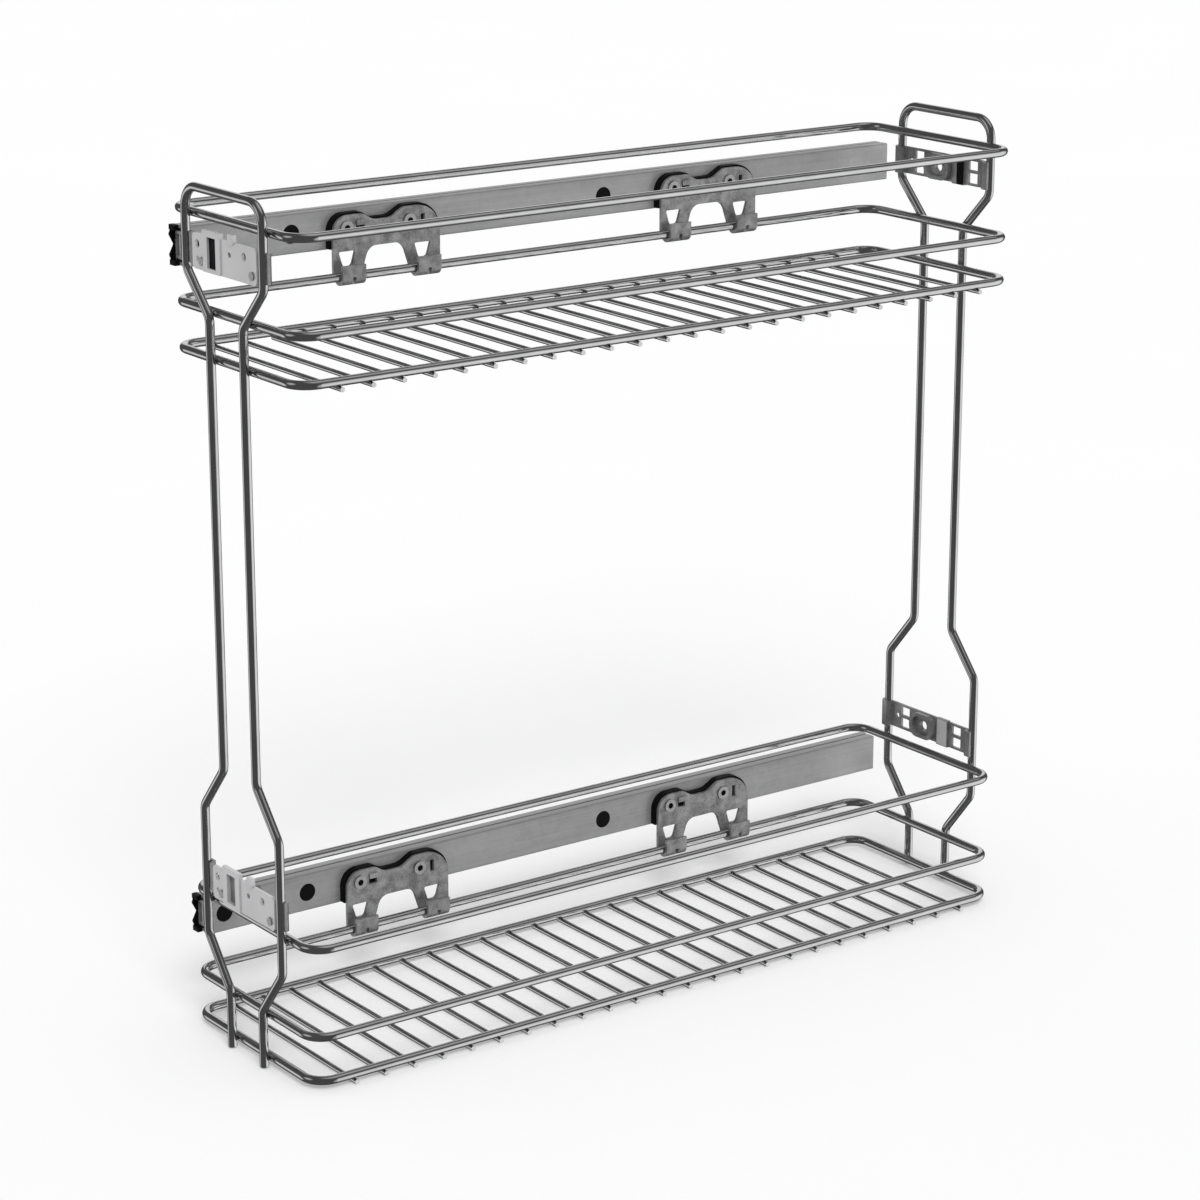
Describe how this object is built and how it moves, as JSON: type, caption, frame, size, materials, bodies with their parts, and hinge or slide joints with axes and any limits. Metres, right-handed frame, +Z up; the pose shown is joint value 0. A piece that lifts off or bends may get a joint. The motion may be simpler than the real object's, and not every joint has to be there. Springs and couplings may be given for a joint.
{
  "type": "two-tier pull-out wire basket",
  "caption": "Narrow two-tier wire basket on telescopic side slides, with bent wire end frames and front plates for a cabinet door.",
  "frame": {"origin": "on the cabinet wall, at the middle of the four outer fixing holes of the two wall rails", "axes": "+X along the basket from its front (door) end to its rear end, +Y from the basket into the cabinet wall that carries the slides, +Z up"},
  "size_m": [0.509, 0.1497, 0.4777],
  "materials": {
    "chrome_wire": "polished",
    "zinc_rail": "satin",
    "cast_bracket": "satin",
    "plated_strip": "satin",
    "rivet_steel": "satin",
    "ball_steel": "polished",
    "cage_steel": "satin",
    "black_plastic": "satin"
  },
  "bodies": {
    "cabinet_side": {"lower_wall_rail": "zinc_rail", "lower_wall_bushes": "black_plastic", "lower_rail_bumper": "black_plastic", "upper_wall_rail": "zinc_rail", "upper_wall_bushes": "black_plastic", "upper_rail_bumper": "black_plastic"},
    "basket": {"front_frame": "chrome_wire", "rear_frame": "chrome_wire", "lower_floor_ring": "chrome_wire", "lower_middle_ring": "chrome_wire", "lower_top_ring": "chrome_wire", "lower_cross_wires": "chrome_wire", "lower_basket_rail": "zinc_rail", "lower_front_bracket": "cast_bracket", "lower_rear_bracket": "cast_bracket", "lower_bracket_spacers": "black_plastic", "lower_bracket_rivets": "rivet_steel", "lower_front_clamp": "plated_strip", "lower_rear_clamp": "plated_strip", "lower_door_plate": "plated_strip", "lower_plate_rivets": "rivet_steel", "upper_floor_ring": "chrome_wire", "upper_middle_ring": "chrome_wire", "upper_top_ring": "chrome_wire", "upper_cross_wires": "chrome_wire", "upper_basket_rail": "zinc_rail", "upper_front_bracket": "cast_bracket", "upper_rear_bracket": "cast_bracket", "upper_bracket_spacers": "black_plastic", "upper_bracket_rivets": "rivet_steel", "upper_front_clamp": "plated_strip", "upper_rear_clamp": "plated_strip", "upper_door_plate": "plated_strip", "upper_plate_rivets": "rivet_steel"},
    "lower_beam": {"lower_slide_beam": "zinc_rail"},
    "lower_wall_rollers": {"lower_wall_cages": "cage_steel", "lower_wall_balls": "ball_steel"},
    "lower_basket_rollers": {"lower_basket_cages": "cage_steel", "lower_basket_balls": "ball_steel"},
    "upper_beam": {"upper_slide_beam": "zinc_rail"},
    "upper_wall_rollers": {"upper_wall_cages": "cage_steel", "upper_wall_balls": "ball_steel"},
    "upper_basket_rollers": {"upper_basket_cages": "cage_steel", "upper_basket_balls": "ball_steel"}
  },
  "joints": [
    {"name": "basket_slide", "type": "slide", "parent": "cabinet_side", "child": "basket", "axis": [-1, 0, 0], "range_m": [0, 0.45]},
    {"name": "lower_beam_slide", "type": "slide", "parent": "cabinet_side", "child": "lower_beam", "axis": [-1, 0, 0], "range_m": [0, 0.225]},
    {"name": "lower_wall_rollers_slide", "type": "slide", "parent": "cabinet_side", "child": "lower_wall_rollers", "axis": [-1, 0, 0], "range_m": [0, 0.1125]},
    {"name": "lower_basket_rollers_slide", "type": "slide", "parent": "cabinet_side", "child": "lower_basket_rollers", "axis": [-1, 0, 0], "range_m": [0, 0.3375]},
    {"name": "upper_beam_slide", "type": "slide", "parent": "cabinet_side", "child": "upper_beam", "axis": [-1, 0, 0], "range_m": [0, 0.225]},
    {"name": "upper_wall_rollers_slide", "type": "slide", "parent": "cabinet_side", "child": "upper_wall_rollers", "axis": [-1, 0, 0], "range_m": [0, 0.1125]},
    {"name": "upper_basket_rollers_slide", "type": "slide", "parent": "cabinet_side", "child": "upper_basket_rollers", "axis": [-1, 0, 0], "range_m": [0, 0.3375]}
  ],
  "couplings": [
    {"joint": "lower_beam_slide", "follows": "basket_slide", "ratio": 0.5},
    {"joint": "lower_wall_rollers_slide", "follows": "basket_slide", "ratio": 0.25},
    {"joint": "lower_basket_rollers_slide", "follows": "basket_slide", "ratio": 0.75},
    {"joint": "upper_beam_slide", "follows": "basket_slide", "ratio": 0.5},
    {"joint": "upper_wall_rollers_slide", "follows": "basket_slide", "ratio": 0.25},
    {"joint": "upper_basket_rollers_slide", "follows": "basket_slide", "ratio": 0.75}
  ]
}
